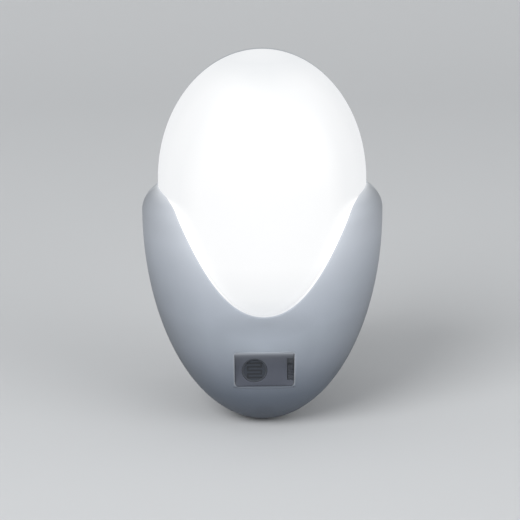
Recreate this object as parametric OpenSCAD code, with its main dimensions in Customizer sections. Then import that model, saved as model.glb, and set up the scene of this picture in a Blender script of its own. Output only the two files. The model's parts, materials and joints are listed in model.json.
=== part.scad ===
// Plug-in night light: an egg-shaped lens held in a cut-away cover, with a light
// sensor and a small mode switch in a window of the cover, and a two-pin plug behind.
// X runs to the right, Y into the wall and Z up. The origin lies on the back face,
// midway between the two pins. The front shells meet the rear housing at the joint
// plane, where the body is widest.

/* [Cover] */
// Width of the cover at its widest line
cover_w = 57; // [54:0.5:62]
// Height of the widest line above the pins
widest_z = 27.7; // [26:0.1:30]
// From the widest line down to the lowest point
cover_drop = 52; // [50:0.5:56]
// From the widest line up to the top of the shoulders
shoulder_rise = 7.2; // [6.8:0.1:9]
// Rounding of the shoulders
shoulder_r = 6; // [5:0.1:6.5]
// Small hollow rounding where the shoulders meet the lens
shoulder_fillet = 1.2; // [0.8:0.1:1.6]
// How far the cover stands in front of the joint plane
cover_bow = 20.5; // [20:0.1:23]
// Wall of the cover
cover_wall = 1.6; // [1.2:0.1:1.8]

/* [Lens opening] */
// From the widest line down to the lowest point of the opening
opening_drop = 19.7; // [17:0.1:22]
// Width of the opening level with the joint of lens and shoulders
opening_w = 44; // [40:0.5:46]
// Steepness of the opening's straight sides, rise over run
opening_slope = 2.2; // [1.9:0.05:2.6]
// Handle of the curve at the bottom of the opening
opening_round = 10; // [8:0.5:12]
// Handle of the curve at the straight sides
opening_straight = 15; // [12:0.5:18]
// Width of the inner lip that carries the lens round the opening
rim_lip = 1.6; // [1.2:0.1:2.4]

/* [Lens] */
// Step from the side of the cover in to the side of the lens
lens_step = 3.9; // [3.4:0.1:4.4]
// Height of the lens's widest line above the cover's
lens_above = 8.3; // [7.5:0.1:9]
// From the lens's widest line up to its top
lens_rise = 31.5; // [28:0.5:36]
// From the lens's widest line down to where its hidden end would close
lens_drop = 58; // [54:0.5:62]
// How far the front of the lens lies behind the front of the cover
lens_setback = 1; // [0.8:0.1:1.4]
// Wall of the lens
lens_wall = 1.4; // [1:0.1:1.8]
// How far the lens reaches under the cover round the opening
lens_tuck = 3; // [2.6:0.1:4]

/* [Rear housing] */
// From the joint plane back to the back face
housing_depth = 12; // [11:0.25:13]
// Wall of the housing round its sides
housing_wall = 1.8; // [1.4:0.1:2.2]
// Thickness of the back
back_wall = 2; // [1.6:0.1:2.6]
// Thickness of the tongue that locates the front shells
tongue_t = 1; // [0.8:0.1:1.4]
// Height of the tongue in front of the joint plane
tongue_h = 2; // [1.5:0.1:3]

/* [Plug] */
// Diameter of the pins
pin_d = 4; // [3.6:0.1:4.8]
// Distance between the pins
pin_spacing = 18; // [17.5:0.1:19]
// Length of the pins in front of the plug body
pin_length = 19; // [17:0.5:22]
// Diameter of the insulating sleeves
sleeve_d = 3.5; // [3.3:0.1:3.6]
// Length of the sleeves in front of the plug body
sleeve_length = 10; // [8:0.5:12]
// Width of the plug body
plug_w = 35.3; // [35:0.1:37]
// Height of the plug body
plug_h = 13.7; // [13:0.1:15]
// Width of the plug body's flat top and bottom
plug_flat = 26.1; // [25:0.1:28]
// How far the plug body stands behind the back face
plug_length = 17; // [15:0.5:18]
// Wall of the plug body
plug_wall = 1.6; // [1.2:0.1:2]
// Thickness of the plug body's end, which carries the pins
plug_end = 2.5; // [2:0.1:3.5]

/* [Sensor window] */
// Width of the window
window_w = 14.2; // [13.6:0.1:15]
// Height of the window
window_h = 9.8; // [9:0.1:10.6]
// Rounding of the window's corners
window_r = 0.8; // [0.4:0.1:1.4]
// Height of the window's middle, below the pins
window_z = -6.75; // [-7.5:0.05:-6]
// How far the sensor panel's face stands in front of the joint plane
panel_bow = 12.5; // [12:0.1:13]
// Hole for the photocell
photocell_hole_d = 6; // [5.6:0.1:6.6]
// Place of the photocell, left of the window's middle
photocell_x = -2.35; // [-3:0.05:-2]
// Diameter of the photocell
photocell_d = 5.1; // [4.8:0.1:5.2]
// Width of the notch for the mode switch's knob
notch_w = 1.7; // [1.5:0.1:2]
// Height of that notch
notch_h = 5.5; // [5:0.1:6]

/* [Mode switch] */
// Travel of the knob up between its two places
knob_travel = 1.5; // [1.2:0.1:1.8]
// How far the knob lies behind the panel's face
knob_sunk = 0.3; // [0.2:0.1:0.5]
// Thickness of the panel's skin in front of the knob's dust shield
panel_skin = 0.8; // [0.6:0.1:1.2]
// Thickness of that shield
shield_t = 0.6; // [0.5:0.1:0.9]

/* [Electronics] */
// Thickness of the main circuit board
board_t = 1.6; // [1:0.1:2]
// Space from the back to the main board
board_rise = 5.8; // [5:0.1:6.2]
// Space from the side of the lens in to the main board
board_inset = 6.6; // [6:0.1:9]
// Distance from the pins down to the main board's lower end
board_below = 8; // [7.5:0.5:11]
// Distance from the lens's widest line up to the main board's upper end
board_above = 18; // [17:0.5:20]
// Diameter of the lamps
led_d = 5; // [3:0.5:6]
// Length of the film capacitor
film_l = 18; // [13:0.5:19]
// Thickness of the film capacitor
film_t = 6; // [5:0.5:7]
// Height of the film capacitor
film_h = 12; // [10:0.5:13]
// Diameter of the smoothing capacitor
can_d = 8; // [6.3:0.1:9]
// Height of the smoothing capacitor
can_h = 11.5; // [9:0.5:13]

/* [Hidden] */
$fn = 64;
far = 200;
hair = 0.05;                 // clearance of a pressed or threaded piece
fit = 0.15;                  // clearance of pieces that slip together
shell_gap = 0.25;            // clearance between the lens and the cover
lead_r = 0.3;
wire_r = 0.26;               // a bent lead's run along the board
lead_hole_r = 0.45;
lead_tail = 1.4;             // lead left standing behind a board

cover_half = cover_w / 2;
lens_half = cover_half - lens_step;
lens_z = widest_z + lens_above;
lens_bow = cover_bow - lens_setback;
shoulder_z = widest_z + shoulder_rise;
joint_y = -housing_depth;

// ---- plug ----
plug_y = plug_length;
pin_r = pin_d / 2;
pin_x = pin_spacing / 2;
pin_tip_y = plug_y + pin_length;
pin_core_r = 1.45;
pin_tip_r = 1.2;
sleeve_root = 1;             // sleeve held inside the plug's end
collar_r = 3;
collar_t = 1.5;
retainer_t = 1.8;
strip_t = 0.5;
strip_w = 3;
eyelet_r = 2.8;
rivet_r = 2.2;
rivet_t = 0.8;
collar_y = plug_y - plug_end - collar_t;
retainer_y = collar_y - retainer_t;
eyelet_y = retainer_y - strip_t;
rivet_y = eyelet_y - rivet_t;
strip_x = pin_x + eyelet_r - strip_t;
plug_corner_r = 1.5;

// ---- main board ----
board_back_y = -back_wall - board_rise;
board_y = board_back_y - board_t;
board_half = lens_half - board_inset;
board_low = -board_below;
board_high = lens_z + board_above;
board_corner_r = 14;
board_screw_x = 13;
board_screw_z = 21;
board_screw_edge = 3.6;      // from the board's upper end to its top screw
board_screws = [[-board_screw_x, board_screw_z], [board_screw_x, board_screw_z],
                [0, board_high - board_screw_edge]];
led_side = 9.5;              // how far the side lamps stand from the middle
led_side_up = 2.5;           // the side, top and low lamps' heights over the widest line
led_top_up = 8.7;
led_low_up = -5;
leds = [[0, lens_z + led_low_up], [-led_side, lens_z + led_side_up],
        [led_side, lens_z + led_side_up], [0, lens_z + led_top_up]];
led_pitch = 2.54;
led_flange_t = 1;
led_straight = 5.4;

// Axial parts on the board: x, z, turned upright, body length, body radius
inrush_resistor_at = [7, 15, false, 11, 2];
bleeder_resistor_at = [-8, 15, false, 9, 1.6];
diode_z = 21.8;
diode_pitch = 4;
diode_l = 5.2;
diode_r = 1.35;
diodes_at = [for (i = [-1.5 : 1 : 1.5]) [i * diode_pitch, diode_z, true, diode_l, diode_r]];
zener_at = [-6.6, 30.6, true, 3.9, 1];
bias_resistors_at = [[6.4, 29.6, true, 6.3, 1.15], [-9.6, 29.4, true, 6.3, 1.15]];
axial_reach = 1.3;
axial_lift = 0.3;
film_at = [-5, 7.2];
film_lead_in = 1.5;          // from the film capacitor's ends in to its leads
film_pitch = film_l - 2 * film_lead_in;
can_edge = 7;                // from the board's edge to the middle of the can
can_at = [board_half - can_edge, 6.8];
can_pitch = 3.5;
can_groove_up = 1.8;         // height of the groove round the can
can_groove_h = 1;
can_groove_t = 0.35;
transistors_at = [[-14, 30], [12.5, 30]];
to92_r = 2.4;
to92_flat = 1.4;
to92_h = 4.6;
to92_lift = 3;
to92_pitch = 1.27;

// ---- sensor ----
panel_y = joint_y - panel_bow;
panel_gap = 0.1;
flange_set = 3.9;            // from the panel's face back to the flange, clear of the cover
flange_y = panel_y + flange_set;
flange_t = 1.2;
flange_back_y = flange_y + flange_t;
flange_lap = 1.6;            // how far the flange reaches past the window's top and bottom
flange_h = window_h + 2 * flange_lap;
sensor_board_t = 1;
sensor_board_set = 3.7;      // from the joint plane forward to the small board
sensor_board_y = joint_y - sensor_board_set;
sensor_board_back_y = sensor_board_y + sensor_board_t;
skirt_t = 1;
photocell_z = window_z - 0.85;
photocell_r = photocell_d / 2;
photocell_t = 2;
photocell_sunk = 0.15;
photocell_lead_x = 1.7;
track_legs = 5;
track_pitch = 0.9;
track_w = 0.36;
track_l = 3.6;
track_t = 0.06;
notch_z = window_z - 0.6;
notch_x = window_w / 2 - notch_w;
holder_screw_r = 0.85;
holder_screw_head_r = 1.7;
holder_screw_head_t = 1.1;
holder_screw_grip = 1.6;     // how deep the screw bites into the cover's boss
link_z = -4.2;
link_pitch = 2.54;
links = [for (i = [-1.5 : 1 : 1.5]) i * link_pitch];
link_r = 0.32;

// ---- mode switch ----
knob_h = notch_h - knob_travel - 2 * fit;
knob_w = notch_w - 2 * fit;
knob_x = window_w / 2 - notch_w / 2;
knob_z = notch_z - knob_travel / 2;
shield_h = notch_h + 2 * fit;
shield_side = 0.6;           // how far the shield reaches past the notch
shield_y = panel_y + panel_skin + fit;
knob_foot_w = 2.3;
knob_foot_h = knob_h + 1.6;
knob_foot_t = 1.2;
knob_ridge_pitch = 0.7;
knob_ridge = 0.12;           // depth of its grip grooves, and half their height
switch_y = flange_back_y;
switch_frame_t = 0.3;
switch_w = 3.5;
switch_room = 0.7;           // from the switch's side out to the skirt
switch_h = knob_foot_h + knob_travel + 2 * switch_frame_t + 4 * fit;
switch_back_y = sensor_board_y;
switch_base_t = 1.1;
switch_pitch = 2.5;
wiper_t = 0.2;

// ---- holder's flange and ears, as wide as the switch needs ----
flange_w = 2 * (knob_x + switch_w / 2 + switch_room + skirt_t);
ear_r = 2.1;
ear_screw_room = 0.6;        // from the skirt out to the screw's head
ear_x = flange_w / 2 + ear_screw_room + holder_screw_head_r;
holder_screws_x = [-ear_x, ear_x];

// ---- fasteners ----
cover_screw_up = 4.8;        // from the cover's lowest point up to its screw
cover_screw_z = widest_z - cover_drop + cover_screw_up;
cover_screw_r = 1.45;
cover_screw_head_r = 2.6;
cover_screw_head_t = 1.9;
cover_screw_shelf = 2.2;
cover_screw_l = 7.2;
cover_boss_r = 2.5;
housing_boss_r = 4;
board_screw_r = 1.05;
board_screw_head_r = 2;
board_screw_head_t = 1.3;
board_screw_l = 4;
board_boss_r = 3;

// ================= general shapes =================

// A flat shape drawn in X and Z, as thick as from y0 back to y1
module slab(y0, y1) {
  translate([0, y1, 0]) rotate([90, 0, 0]) linear_extrude(y1 - y0) children();
}

// A round rod along Y
module rod(r, y0, y1, at = [0, 0]) {
  translate([at[0], y1, at[1]]) rotate([90, 0, 0]) cylinder(r = r, h = y1 - y0);
}

module block(x0, x1, y0, y1, z0, z1) {
  translate([x0, y0, z0]) cube([x1 - x0, y1 - y0, z1 - z0]);
}

module rounded_rect(w, h, r) {
  hull() for (x = [-1, 1], y = [-1, 1])
    translate([x * (w / 2 - r), y * (h / 2 - r)]) circle(r = r, $fn = 32);
}

// One side of an egg: two quarter ellipses that share their widest line, with a
// tiny flat at each tip
tip_flat = 0.004;
module egg_profile(half, up, down) {
  intersection() {
    scale([half, up]) circle(r = 1);
    square([half, up - tip_flat]);
  }
  intersection() {
    scale([half, down]) circle(r = 1);
    translate([0, tip_flat - down]) square([half, down - tip_flat]);
  }
}

// ================= outer forms =================

// A turned form squashed front to back: the half in front of the joint plane, or
// with turn 0 the half behind it
module squashed(half, bow, turn = 180) {
  translate([0, joint_y, 0])
    scale([1, bow / half, 1])
      rotate([0, 0, turn]) rotate_extrude(angle = 180) children();
}

// Lens egg, made smaller all over by inset
module lens_egg(inset = 0) {
  squashed(lens_half - inset, lens_bow - inset) lens_profile(inset);
}

module lens_profile(inset = 0) {
  translate([0, lens_z])
    egg_profile(lens_half - inset, lens_rise - inset, lens_drop - inset);
}

// One side of the cover body: an elliptic cup with rounded shoulders
module cover_profile(inset = 0) {
  half = cover_half - inset;
  down = cover_drop - inset;
  top = shoulder_rise - inset;
  r = shoulder_r - inset;
  translate([0, widest_z]) {
    intersection() {
      scale([half, down]) circle(r = 1);
      translate([0, tip_flat - down]) square([half, down - tip_flat]);
    }
    square([half, top - r]);
    square([half - r, top]);
    translate([half - r, top - r]) circle(r = r);
  }
}

// Hollow rounding that runs from the shoulder up the side of the lens
module shoulder_fillet_profile() {
  foot = cover_half - shoulder_r;
  edge = lens_half + shell_gap;
  reach = shoulder_r + shoulder_fillet - 0.02;
  across = edge + shoulder_fillet - foot;
  centre_z = shoulder_rise - shoulder_r + sqrt(reach * reach - across * across);
  contact_x = edge + shoulder_fillet * (1 - across / reach);
  translate([0, widest_z])
    difference() {
      translate([foot, 0]) square([contact_x - foot, centre_z]);
      translate([edge + shoulder_fillet, centre_z]) circle(r = shoulder_fillet);
    }
}

module cover_body(inset = 0) {
  squashed(cover_half - inset, cover_bow - inset) {
    cover_profile(inset);
    if (inset == 0) shoulder_fillet_profile();
  }
}

// The rear housing carries both outlines on behind the joint plane
module housing_body(inset = 0) {
  squashed(cover_half - inset, cover_bow - inset, 0) {
    cover_profile(inset);
    intersection() {
      lens_profile(inset);
      translate([0, widest_z]) square([far, far]);
    }
    if (inset == 0) shoulder_fillet_profile();
  }
}

// ================= lens opening =================

function mix3(t, a, b, c, d) =
  pow(1 - t, 3) * a + 3 * pow(1 - t, 2) * t * b + 3 * (1 - t) * t * t * c + t * t * t * d;
function slope3(t, a, b, c, d) =
  3 * pow(1 - t, 2) * (b - a) + 6 * (1 - t) * t * (c - b) + 3 * t * t * (d - c);

opening_steps = 16;
opening_low = widest_z - opening_drop;
opening_side = [1, opening_slope] / norm([1, opening_slope]);
opening_a = [0, opening_low];
opening_b = [opening_round, opening_low];
opening_d = [opening_w / 2, lens_z - 0.3];
opening_c = opening_d - opening_straight * opening_side;

// A point of the opening's right edge, moved outwards by out
function opening_point(t, out) =
  let (
    p = mix3(t, opening_a, opening_b, opening_c, opening_d),
    s = slope3(t, opening_a, opening_b, opening_c, opening_d)
  )
  p + out * [s[1], -s[0]] / norm(s);

// The opening seen from the front, running on upwards past the shoulders
module opening_shape(out = 0) {
  right = [for (i = [0 : opening_steps]) opening_point(i / opening_steps, out)];
  top = right[opening_steps] + far / 2 * opening_side;
  left = [for (i = [opening_steps : -1 : 1]) [-right[i][0], right[i][1]]];
  polygon(concat(right, [top, [-top[0], top[1]]], left));
}

module opening_prism(out = 0) {
  slab(joint_y - far, joint_y + 1) opening_shape(out);
}

// ================= lens and covers =================

module lens() {
  color("white")
    intersection() {
      difference() {
        lens_egg();
        lens_egg(lens_wall);
      }
      opening_prism(lens_tuck);
    }
}

module window_shape(gap = 0) {
  translate([0, window_z]) rounded_rect(window_w - 2 * gap, window_h - 2 * gap, window_r);
}

module cover_bosses() {
  rod(cover_boss_r, joint_y - far, joint_y, [0, cover_screw_z]);
  for (x = holder_screws_x) rod(ear_r, joint_y - far, flange_y, [x, window_z]);
}

module front_cover() {
  color("gainsboro")
    difference() {
      cover_body();
      difference() {
        cover_body(cover_wall);
        opening_prism(rim_lip);
        cover_bosses();
      }
      intersection() {
        lens_egg(-shell_gap);
        opening_prism(lens_tuck + shell_gap);
      }
      opening_prism();
      slab(joint_y - far, flange_y) window_shape();
      rod(cover_screw_r + hair, joint_y - cover_screw_l, joint_y + 1, [0, cover_screw_z]);
      for (x = holder_screws_x)
        rod(holder_screw_r + hair, flange_y - holder_screw_grip - 2 * fit, flange_y + 1,
            [x, window_z]);
    }
}

// Outlines of the body at the joint plane, made smaller by inset
module cover_outline(inset) {
  cover_profile(inset);
  mirror([1, 0]) cover_profile(inset);
}

module lens_outline(inset) {
  lens_profile(inset);
  mirror([1, 0]) lens_profile(inset);
}

// Tongue that the cover slips over, up to below its shoulders
module cover_tongue_shape(outer, inner) {
  intersection() {
    difference() {
      cover_outline(outer);
      cover_outline(inner);
    }
    translate([-far, -far]) square([2 * far, far + widest_z]);
  }
}

// Tongue that the lens slips over, from above the shoulders
module lens_tongue_shape(outer, inner) {
  intersection() {
    difference() {
      lens_outline(outer);
      lens_outline(inner);
    }
    translate([-far, shoulder_z + 1.5]) square([2 * far, far]);
  }
}

// How far a bowed shell, so long and so deep, has drawn in at the tongue's edge
function drawn_in(long, deep) = long * (1 - sqrt(1 - pow(tongue_h / deep, 2)));

module tongues() {
  cover_face = cover_wall + fit + drawn_in(cover_drop - cover_wall, cover_bow - cover_wall);
  lens_face = lens_wall + fit + drawn_in(lens_rise - lens_wall, lens_bow - lens_wall);
  root_y = joint_y + 2.5;
  difference() {
    slab(joint_y - tongue_h, joint_y) cover_tongue_shape(cover_face, cover_face + tongue_t);
    rod(cover_boss_r + 2 * fit, joint_y - far, joint_y + 1, [0, cover_screw_z]);
  }
  slab(joint_y - tongue_h, joint_y) lens_tongue_shape(lens_face, lens_face + tongue_t);
  slab(joint_y, root_y) {
    cover_tongue_shape(housing_wall - 0.6, cover_face + tongue_t);
    lens_tongue_shape(housing_wall - 0.6, lens_face + tongue_t);
  }
}

module plug_shape(gap) {
  half_w = plug_w / 2 - gap - plug_corner_r;
  half_h = plug_h / 2 - gap - plug_corner_r;
  flat = plug_flat / 2 - gap / 2 - plug_corner_r / 2;
  hull() {
    for (x = [-1, 1]) {
      translate([x * half_w, 0]) circle(r = plug_corner_r, $fn = 32);
      for (z = [-1, 1]) translate([x * flat, z * half_h]) circle(r = plug_corner_r, $fn = 32);
    }
  }
}

module rear_housing() {
  color("gainsboro")
    difference() {
      union() {
        difference() {
          intersection() {
            housing_body();
            block(-far, far, -far, 0, -far, far);
          }
          intersection() {
            housing_body(housing_wall);
            block(-far, far, -far, -back_wall, -far, far);
          }
        }
        tongues();
        for (at = board_screws) rod(board_boss_r, board_back_y, -back_wall, at);
        intersection() {
          rod(housing_boss_r, joint_y, 0, [0, cover_screw_z]);
          housing_body();
        }
        slab(-back_wall, plug_y) plug_shape(0);
      }
      slab(-back_wall - 1, plug_y - plug_end) plug_shape(plug_wall);
      for (x = [-pin_x, pin_x]) {
        rod(pin_core_r + hair, 0, plug_y + 1, [x, 0]);
        rod(sleeve_d / 2 + hair, plug_y - sleeve_root, plug_y + 1, [x, 0]);
      }
      rod(board_screw_r + hair, retainer_y, plug_y - 0.8, [0, 0]);
      for (at = board_screws)
        rod(board_screw_r + hair, board_back_y - 1, board_y + board_t + board_screw_l, at);
      rod(cover_screw_r + fit, joint_y - 1, 1, [0, cover_screw_z]);
      rod(cover_screw_head_r + fit, joint_y + cover_screw_shelf, 1, [0, cover_screw_z]);
    }
}

// ================= plug =================

module plug_pin(x) {
  color("silver")
    translate([x, 0, 0])
      rotate([-90, 0, 0])
        rotate_extrude()
          difference() {
            union() {
              translate([0, rivet_y]) square([pin_core_r, pin_tip_y - pin_length - rivet_y]);
              translate([0, rivet_y]) square([rivet_r, rivet_t]);
              translate([0, collar_y]) square([collar_r, collar_t]);
              translate([0, plug_y - 1]) square([pin_core_r, sleeve_length + 2]);
              translate([0, plug_y + sleeve_length])
                square([pin_r, pin_length - sleeve_length - pin_tip_r]);
              translate([0, pin_tip_y - 2 * pin_tip_r]) square([pin_r - pin_tip_r, 2 * pin_tip_r]);
              translate([pin_r - pin_tip_r, pin_tip_y - pin_tip_r]) circle(r = pin_tip_r);
            }
            translate([-far, 0]) square([far, far]);
          }
}

module plug_pin_left() { plug_pin(-pin_x); }
module plug_pin_right() { plug_pin(pin_x); }

module pin_sleeve(x) {
  color("dimgray")
    difference() {
      rod(sleeve_d / 2, plug_y - sleeve_root, plug_y + sleeve_length, [x, 0]);
      rod(pin_core_r + hair, 0, far, [x, 0]);
    }
}

module pin_sleeve_left() { pin_sleeve(-pin_x); }
module pin_sleeve_right() { pin_sleeve(pin_x); }

// Plate that presses the pins' collars against the plug's end
module pin_retainer() {
  color("ivory")
    difference() {
      slab(retainer_y, collar_y) plug_shape(plug_wall + 2 * fit);
      for (x = [-pin_x, pin_x]) rod(pin_core_r + hair, 0, far, [x, 0]);
      rod(board_screw_r + fit, 0, far, [0, 0]);
    }
}

module retainer_screw() {
  color("silver") {
    rod(board_screw_head_r, retainer_y - board_screw_head_t, retainer_y, [0, 0]);
    rod(board_screw_r, retainer_y - hair, plug_y - 1, [0, 0]);
  }
}

// Brass strip from a pin's riveted end to the board
module contact_strip(side) {
  color("gold") {
    difference() {
      union() {
        rod(eyelet_r, eyelet_y, retainer_y, [side * pin_x, 0]);
        translate([side * (pin_x + eyelet_r / 2), (eyelet_y + retainer_y) / 2, 0])
          cube([eyelet_r, strip_t, strip_w], center = true);
      }
      rod(pin_core_r + hair, 0, far, [side * pin_x, 0]);
    }
    translate([side * (strip_x + strip_t / 2), (board_y - lead_tail / 2 + retainer_y) / 2, 0])
      cube([strip_t, retainer_y - board_y + lead_tail / 2, strip_w], center = true);
  }
}

module contact_strip_left() { contact_strip(-1); }
module contact_strip_right() { contact_strip(1); }

// ================= main board =================

function led_leads_at(at) = [[at[0] - led_pitch / 2, at[1]], [at[0] + led_pitch / 2, at[1]]];

// The two board holes of an axial part
function axial_legs(p) =
  let (d = p[3] / 2 + axial_reach)
  p[2] ? [[p[0], p[1] - d], [p[0], p[1] + d]] : [[p[0] - d, p[1]], [p[0] + d, p[1]]];

axial_parts = concat([inrush_resistor_at, bleeder_resistor_at, zener_at],
                     diodes_at, bias_resistors_at);
film_legs = [for (s = [-1, 1]) [film_at[0] + s * film_pitch / 2, film_at[1]]];
can_legs = [for (s = [-1, 1]) [can_at[0] + s * can_pitch / 2, can_at[1]]];
transistor_legs = [for (at = transistors_at, i = [-1 : 1]) [at[0] + i * to92_pitch, at[1]]];
link_legs = [for (x = links) [x, link_z]];
upright_legs = concat(film_legs, can_legs);
board_holes = concat([for (p = axial_parts, at = axial_legs(p)) at], upright_legs,
                     transistor_legs, link_legs,
                     [for (led = leds, at = led_leads_at(led)) at]);

module circuit_board() {
  mid_z = (board_low + board_high) / 2;
  color("darkolivegreen")
    slab(board_y, board_back_y)
      difference() {
        translate([0, mid_z]) rounded_rect(2 * board_half, board_high - board_low, board_corner_r);
        for (at = board_holes) translate(at) circle(r = lead_hole_r);
        for (at = board_screws) translate(at) circle(r = board_screw_r + fit);
        for (s = [-1, 1])
          translate([s * (strip_x + strip_t / 2), 0])
            square([strip_t + 2 * fit, strip_w + 2 * fit], center = true);
      }
}

module board_screws() {
  color("silver")
    for (at = board_screws) {
      rod(board_screw_head_r, board_y - board_screw_head_t, board_y, at);
      rod(board_screw_r, board_y - hair, board_back_y + board_screw_l - hair, at);
    }
}

module cover_screw() {
  at = [0, cover_screw_z];
  shelf_y = joint_y + cover_screw_shelf;
  color("silver") {
    rod(cover_screw_head_r, shelf_y, shelf_y + cover_screw_head_t, at);
    rod(cover_screw_r, joint_y - cover_screw_l + 0.4, shelf_y + hair, at);
  }
}

// A lamp: flange on the board, straight body and domed end towards the lens
module led(at) {
  color("lightyellow")
    translate([at[0], board_y, at[1]])
      rotate([90, 0, 0])
        rotate_extrude()
          intersection() {
            union() {
              square([led_d / 2 + 0.4, led_flange_t]);
              square([led_d / 2, led_straight]);
              translate([0, led_straight]) circle(d = led_d);
            }
            square([far, far]);
          }
}

module led_1() { led(leds[0]); }
module led_2() { led(leds[1]); }
module led_3() { led(leds[2]); }
module led_4() { led(leds[3]); }

module led_leads() {
  color("silver")
    for (at = leds, leg = led_leads_at(at)) rod(lead_r, board_y, board_back_y + lead_tail, leg);
}

module film_capacitor() {
  color("firebrick")
    slab(board_y - film_h, board_y)
      translate(film_at) rounded_rect(film_l, film_t, 0.6);
}

module smoothing_capacitor() {
  groove_y = board_y - can_groove_up;
  color("midnightblue")
    difference() {
      rod(can_d / 2, board_y - can_h, board_y, can_at);
      difference() {
        rod(can_d, groove_y - can_groove_h / 2, groove_y + can_groove_h / 2, can_at);
        rod(can_d / 2 - can_groove_t, groove_y - can_groove_h, groove_y + can_groove_h, can_at);
      }
    }
}

// Body of an axial part, with its end caps a little fatter than its middle
module axial_body(p, waist = 0) {
  y = board_y - p[4] - axial_lift;
  cap = p[3] / 4;
  translate([p[0], y, p[1]])
    rotate(p[2] ? [0, 0, 0] : [0, 90, 0]) {
      difference() {
        translate([0, 0, -p[3] / 2]) cylinder(r = p[4], h = p[3]);
        if (waist > 0)
          difference() {
            translate([0, 0, cap - p[3] / 2]) cylinder(r = p[4] + 1, h = p[3] - 2 * cap);
            cylinder(r = p[4] - waist, h = 2 * p[3], center = true);
          }
      }
    }
}

module inrush_resistor() { color("burlywood") axial_body(inrush_resistor_at, 0.25); }
module bleeder_resistor() { color("tan") axial_body(bleeder_resistor_at, 0.2); }
module zener_diode() { color("orangered") axial_body(zener_at); }

module rectifier_diodes() {
  color("black") for (p = diodes_at) axial_body(p);
}

module bias_resistors() {
  color("tan") for (p = bias_resistors_at) axial_body(p, 0.15);
}

module transistors() {
  color("black")
    for (at = transistors_at)
      difference() {
        rod(to92_r, board_y - to92_lift - to92_h, board_y - to92_lift, at);
        translate([at[0] - to92_r, board_y - to92_lift - to92_h - 1, at[1] + to92_flat])
          cube([2 * to92_r, to92_h + 2, to92_r]);
      }
}

module component_leads() {
  tail_y = board_back_y + lead_tail;
  color("silver") {
    for (p = axial_parts) {
      y = board_y - p[4] - axial_lift;
      translate([p[0], 0, p[1]])
        rotate(p[2] ? [0, 0, 0] : [0, 90, 0])
          for (s = [-1, 1]) {
            rod(lead_r, y - lead_r, tail_y, [0, s * (p[3] / 2 + axial_reach)]);
            translate([0, y, s * (p[3] / 2 + axial_reach / 2)])
              cylinder(r = wire_r, h = axial_reach, center = true);
          }
    }
    for (at = upright_legs) rod(lead_r, board_y, tail_y, at);
    for (at = transistor_legs) rod(lead_r, board_y - to92_lift, tail_y, at);
  }
}

// ================= sensor =================

module notch_shape() {
  translate([notch_x, notch_z - notch_h / 2]) square([notch_w + 1, notch_h]);
}

// Recess behind the panel's skin, in which the knob's shield slides
module shield_recess() {
  low = notch_z - shield_h / 2 - fit;
  block(notch_x - shield_side - fit, window_w, panel_y + panel_skin, shield_y + shield_t + fit,
        low, low + shield_h + knob_travel + 2 * fit);
}

// Opaque panel in the window, with a flange, two screw ears and a skirt to the small board
module sensor_holder() {
  color("lightgray")
    difference() {
      union() {
        slab(panel_y, flange_y + 0.1) window_shape(panel_gap);
        slab(flange_y, flange_back_y)
          translate([0, window_z]) {
            square([flange_w, flange_h], center = true);
            square([2 * ear_x, 2 * ear_r], center = true);
            for (x = holder_screws_x) translate([x, 0]) circle(r = ear_r);
          }
        slab(flange_back_y - 0.1, sensor_board_y)
          translate([0, window_z])
            difference() {
              square([flange_w, flange_h], center = true);
              square([flange_w - 2 * skirt_t, flange_h - 2 * skirt_t], center = true);
            }
      }
      rod(photocell_hole_d / 2, panel_y - 1, flange_back_y + 1, [photocell_x, photocell_z]);
      slab(panel_y - 1, flange_back_y + 1) notch_shape();
      shield_recess();
      for (x = holder_screws_x)
        rod(holder_screw_r + fit, flange_y - 1, sensor_board_y + 1, [x, window_z]);
    }
}

module holder_screws() {
  color("silver")
    for (x = holder_screws_x) {
      rod(holder_screw_head_r, flange_back_y, flange_back_y + holder_screw_head_t, [x, window_z]);
      rod(holder_screw_r, flange_y - holder_screw_grip, flange_back_y + hair, [x, window_z]);
    }
}

sensor_legs = [for (s = [-1, 1]) [photocell_x + s * photocell_lead_x, photocell_z]];
switch_legs = [for (i = [-1 : 1]) [knob_x, notch_z + i * switch_pitch]];

module sensor_board() {
  color("darkolivegreen")
    slab(sensor_board_y, sensor_board_back_y)
      difference() {
        translate([0, window_z]) square([flange_w, flange_h], center = true);
        for (at = concat(sensor_legs, switch_legs, link_legs))
          translate(at) circle(r = lead_hole_r);
      }
}

module board_link_pins() {
  color("gold")
    for (at = link_legs) rod(link_r, sensor_board_y - 1, board_back_y + lead_tail, at);
}

module board_link_block() {
  color("black")
    difference() {
      slab(sensor_board_back_y, board_y)
        translate([0, link_z]) square([4 * link_pitch, link_pitch], center = true);
      for (at = link_legs) rod(link_r + hair, -far, 0, at);
    }
}

module photocell() {
  y = panel_y + photocell_sunk;
  color("darkkhaki") rod(photocell_r, y, y + photocell_t, [photocell_x, photocell_z]);
}

// Winding track on the photocell's face: legs joined at alternate ends
module photocell_track() {
  y = panel_y + photocell_sunk;
  mid = (track_legs - 1) / 2;
  color("black")
    slab(y - track_t, y)
      translate([photocell_x, photocell_z]) {
        for (i = [0 : track_legs - 1])
          translate([0, (mid - i) * track_pitch]) square([track_l, track_w], center = true);
        for (i = [0 : track_legs - 2])
          translate([(i % 2 == 0 ? 1 : -1) * (track_l - track_w) / 2, (mid - i - 0.5) * track_pitch])
            square([track_w, track_pitch], center = true);
      }
}

module photocell_leads() {
  y = panel_y + photocell_sunk + photocell_t;
  color("silver") for (at = sensor_legs) rod(lead_r, y, sensor_board_back_y + 1, at);
}

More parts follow.
